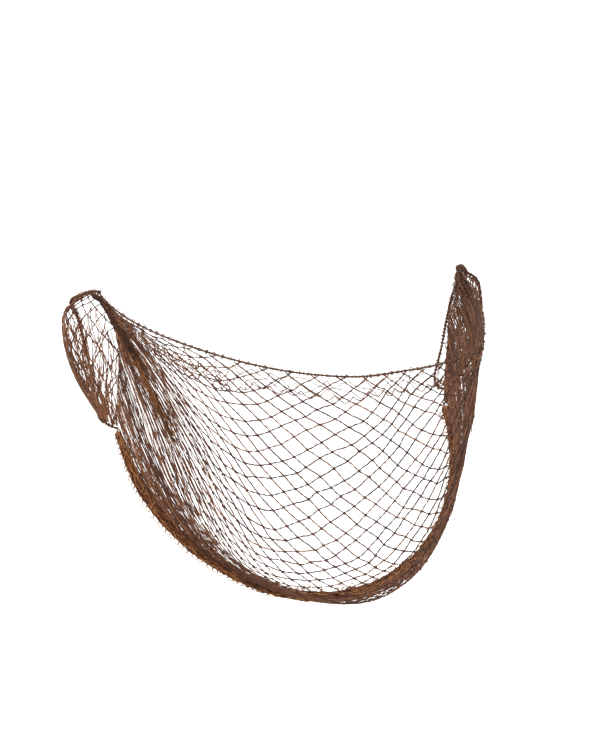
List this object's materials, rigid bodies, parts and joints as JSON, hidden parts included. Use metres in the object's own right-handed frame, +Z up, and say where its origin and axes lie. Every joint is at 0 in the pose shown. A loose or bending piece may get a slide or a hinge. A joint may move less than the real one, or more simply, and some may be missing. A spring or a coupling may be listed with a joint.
{
  "type": "beard snood",
  "caption": "Net snood with an elastic edge that covers the mouth, cheeks, chin and both ears, held in the form it has when worn.",
  "frame": {"origin": "midway between the two ears, inside the hollow for the head, where the snood is held", "axes": "+X to the wearer's left, -Y the way the wearer faces, +Z up"},
  "size_m": [0.1826, 0.1499, 0.1292],
  "materials": {
    "net": "fine brown nylon thread, knitted into an open net",
    "elastic": "thin round elastic covered in dark brown thread",
    "hem": "brown net bunched up round its elastic",
    "gather": "brown net drawn into a tight bunch"
  },
  "bodies": {
    "root": {"face_net": "net", "ear_net_right": "net", "ear_net_left": "net", "edge_elastic": "elastic", "gathered_hem": "hem", "ear_gather_right": "gather", "ear_gather_left": "gather"}
  },
  "joints": []
}
